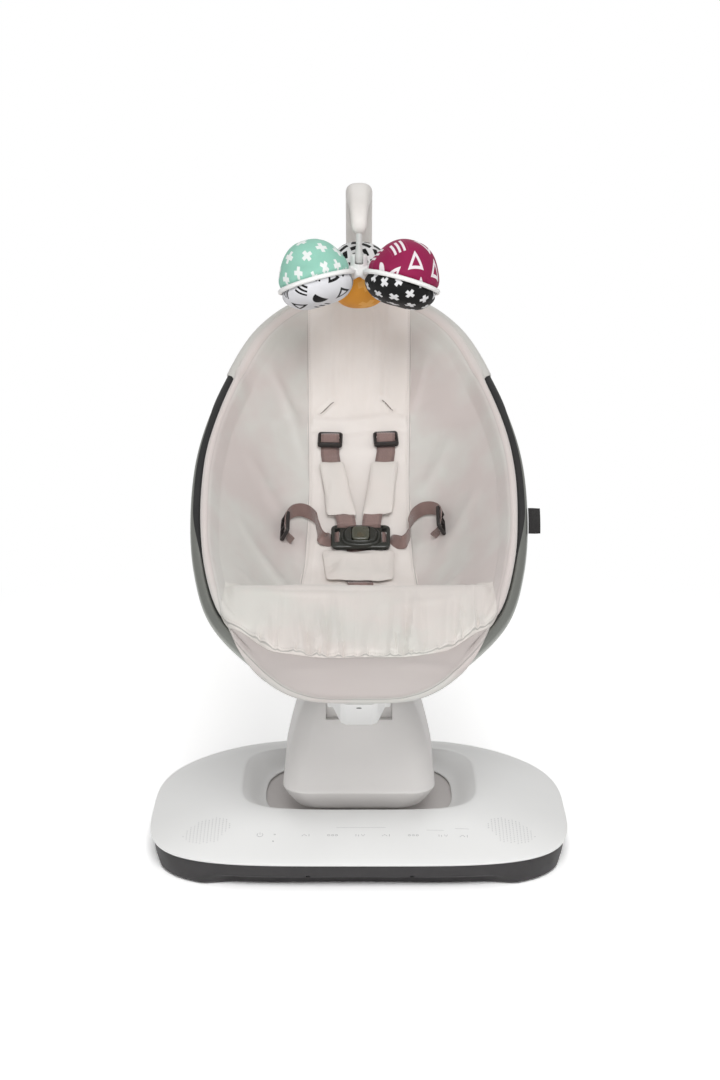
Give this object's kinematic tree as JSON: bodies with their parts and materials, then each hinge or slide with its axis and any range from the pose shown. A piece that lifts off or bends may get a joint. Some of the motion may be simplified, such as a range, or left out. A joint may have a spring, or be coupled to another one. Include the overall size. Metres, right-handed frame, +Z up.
{
  "type": "baby swing",
  "caption": "Motorised baby swing: rounded base, lifting tower on a sway carriage, bucket seat reclining on a curved rail, toy bar with a turning mobile.",
  "frame": {"origin": "middle of the bounding box, on the floor under the feet", "axes": "+X to the right as the seat is faced from its foot end, +Y towards the head end, +Z up"},
  "size_m": [0.495, 0.6096, 0.7525],
  "materials": {
    "shell_white": "satin white moulding",
    "shell_grey": "satin light grey moulding",
    "shield_grey": "matte grey moulding",
    "pan_grey": "fine-textured dark grey moulding",
    "foot_rubber": "matte black rubber",
    "steel": "ground bright steel",
    "ring_tube": "satin silver-grey tube",
    "gear_nylon": "natural nylon",
    "circuit_board": "green circuit board",
    "motor": "grey motor can, lighter than solid steel",
    "black_plastic": "matte black moulding",
    "seat_fabric": "silky woven polyester, light warm grey",
    "sling_fabric": "black woven backing",
    "webbing": "mauve-brown woven webbing",
    "buckle_plastic": "dark grey moulding",
    "toy_mint": "printed cotton, mint above, white below",
    "toy_magenta": "printed cotton, magenta above, black below",
    "toy_orange": "printed cotton, black and white above, orange below",
    "mirror": "polished toy mirror",
    "pin_clear": "frosted grey moulding"
  },
  "bodies": {
    "base": {"base_pan": "pan_grey", "base_cover": "shell_white", "foot_front_left": "foot_rubber", "foot_front_right": "foot_rubber", "foot_back_left": "foot_rubber", "foot_back_right": "foot_rubber", "control_board": "circuit_board", "speaker_left": "black_plastic", "speaker_right": "black_plastic", "power_inlet": "black_plastic", "sway_rod_front": "steel", "sway_rod_rear": "steel", "sway_rack": "gear_nylon"},
    "carriage": {"carriage_plate": "steel", "dust_shield": "shield_grey", "mast_sleeve": "shell_grey", "sway_motor": "motor", "lift_motor": "motor", "guide_column_left": "steel", "guide_column_right": "steel", "lift_spring_left": "steel", "lift_spring_right": "steel"},
    "sway_pinion": {"sway_pinion": "gear_nylon"},
    "lift_pinion": {"lift_pinion": "gear_nylon"},
    "lift_platform": {"tower_shell": "shell_grey", "tower_neck": "shell_grey", "lift_frame": "black_plastic", "lift_rack": "gear_nylon", "rail_guide": "shell_grey", "clamp_shoe": "gear_nylon"},
    "recline_knob": {"recline_knob": "pan_grey"},
    "seat": {"seat_rail": "shell_white", "seat_ring": "ring_tube", "bar_socket": "shell_white", "seat_sling": "sling_fabric", "seat_liner": "seat_fabric", "back_panel": "seat_fabric", "leg_bolster": "seat_fabric", "shoulder_strap_left": "webbing", "shoulder_strap_right": "webbing", "shoulder_pad_left": "seat_fabric", "shoulder_pad_right": "seat_fabric", "strap_adjuster_left": "black_plastic", "strap_adjuster_right": "black_plastic", "waist_strap_left": "webbing", "waist_strap_right": "webbing", "waist_slider_left": "black_plastic", "waist_slider_right": "black_plastic", "buckle_body": "buckle_plastic", "crotch_pad": "seat_fabric", "crotch_strap": "webbing", "side_tag": "black_plastic"},
    "buckle_button": {"buckle_button": "buckle_plastic"},
    "toy_bar": {"toy_bar": "shell_white", "mobile_pin": "pin_clear"},
    "mobile": {"mobile_frame": "shell_white", "toy_left": "toy_mint", "toy_right": "toy_magenta", "toy_rear": "toy_orange", "toy_mirror": "mirror"}
  },
  "joints": [
    {"name": "sway", "type": "slide", "parent": "base", "child": "carriage", "axis": [1, 0, 0], "range_m": [-0.038, 0.038]},
    {"name": "sway_gear", "type": "hinge", "parent": "carriage", "child": "sway_pinion", "pos_m": [0, -0.03806, 0.0155], "axis": [0, 0, 1], "range_deg": [-210, 210]},
    {"name": "lift", "type": "slide", "parent": "carriage", "child": "lift_platform", "axis": [0, 0, 1], "range_m": [0, 0.038], "deforming": ["lift_spring_left", "lift_spring_right"]},
    {"name": "lift_gear", "type": "hinge", "parent": "carriage", "child": "lift_pinion", "pos_m": [0, -0.00256, 0.08], "axis": [1, 0, 0], "range_deg": [-2, 210]},
    {"name": "clamp_turn", "type": "hinge", "parent": "lift_platform", "child": "recline_knob", "pos_m": [0, 0.05594, 0.138], "axis": [0, 1, 0], "range_deg": [0, 90]},
    {"name": "recline", "type": "hinge", "parent": "lift_platform", "child": "seat", "pos_m": [0, -0.06206, 0.532], "axis": [1, 0, 0], "range_deg": [-16, 8]},
    {"name": "release_press", "type": "slide", "parent": "seat", "child": "buckle_button", "axis": [0, 0.5163, -0.8564], "range_m": [0, 0.0025], "stiffness_N_per_m": 2000, "springref_m": -0.0005},
    {"name": "bar_swivel", "type": "hinge", "parent": "seat", "child": "toy_bar", "pos_m": [0, 0.28142, 0.61764], "axis": [0, -0.2419, 0.9703], "range_deg": [-90, 90]},
    {"name": "mobile_spin", "type": "hinge", "parent": "toy_bar", "child": "mobile", "pos_m": [0, 0.11994, 0.667], "axis": [0, 0, 1], "continuous": true}
  ],
  "couplings": [
    {"joint": "sway_gear", "follows": "sway", "rad_per_m": -95.238},
    {"joint": "lift_gear", "follows": "lift", "rad_per_m": 95.238}
  ]
}
